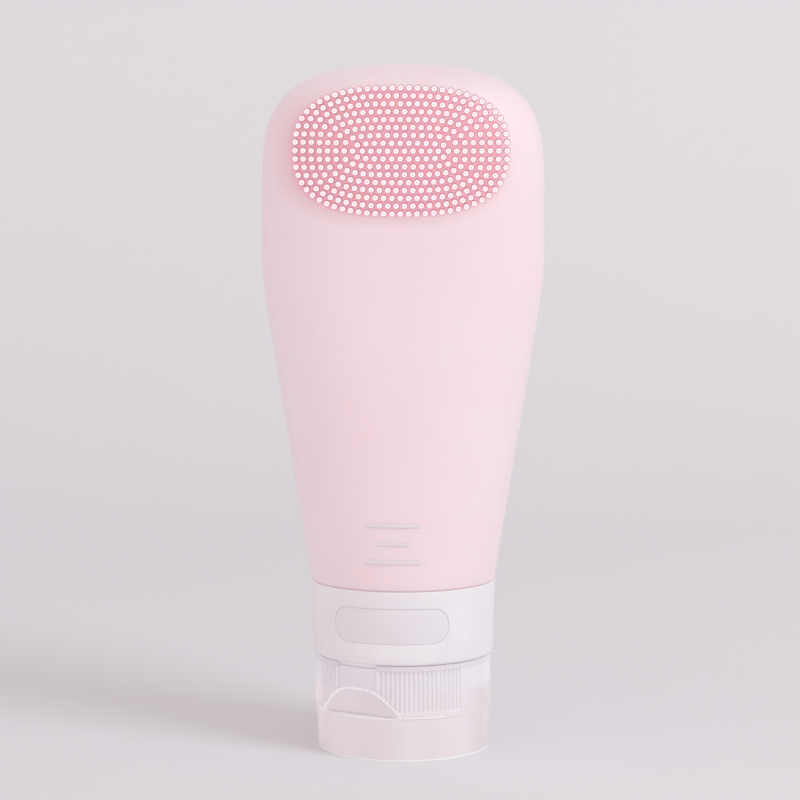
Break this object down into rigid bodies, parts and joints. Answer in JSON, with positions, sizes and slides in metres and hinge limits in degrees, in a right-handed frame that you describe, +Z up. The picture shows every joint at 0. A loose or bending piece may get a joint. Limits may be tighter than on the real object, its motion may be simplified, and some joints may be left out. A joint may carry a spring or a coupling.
{
  "type": "brush-top bottle",
  "caption": "Soft squeeze bottle standing on its flip-top screw cap, flattened towards the top, with an oval field of soft nubs on the upper front.",
  "frame": {"origin": "middle of the lid's flat face, on which the bottle stands", "axes": "+Z up from the lid to the body's crown, +X along the body's wide side, -Y out of the front, where the nubs are"},
  "size_m": [0.0576, 0.0389, 0.1401],
  "materials": {
    "pink_silicone": "soft matte silicone",
    "nub_silicone": "soft matte silicone with paler tips",
    "white_plastic": "fine satin moulding",
    "clear_plastic": "clear polypropylene, slightly milky",
    "window_plastic": "milky pane with a fine satin face"
  },
  "bodies": {
    "bottle": {"squeeze_body": "pink_silicone", "brush_pad": "nub_silicone", "neck_insert": "white_plastic", "contents_ring": "white_plastic"},
    "collar": {"collar": "white_plastic", "window_lens": "window_plastic"},
    "gasket": {"cap_gasket": "pink_silicone"},
    "cap": {"cap_base": "clear_plastic", "slit_valve": "pink_silicone", "valve_retainer": "clear_plastic", "hinge_film": "clear_plastic"},
    "lid": {"flip_lid": "clear_plastic"}
  },
  "joints": [
    {"name": "collar_turn", "type": "hinge", "parent": "bottle", "child": "collar", "pos_m": [0, 0, 0.0278], "axis": [0, 0, 1], "continuous": true},
    {"name": "cap_lift", "type": "slide", "parent": "bottle", "child": "gasket", "axis": [0, 0, -1], "range_m": [0, 0.0045]},
    {"name": "cap_turn", "type": "hinge", "parent": "gasket", "child": "cap", "pos_m": [0, 0, 0.0145], "axis": [0, 0, -1], "range_deg": [0, 540]},
    {"name": "lid_hinge", "type": "hinge", "parent": "cap", "child": "lid", "pos_m": [0.00915, 0.01534, 0.00865], "axis": [0.859, -0.512, 0], "range_deg": [0, 150], "deforming": ["hinge_film"]}
  ],
  "couplings": [
    {"joint": "cap_lift", "follows": "cap_turn", "m_per_rad": 0.00047746}
  ]
}
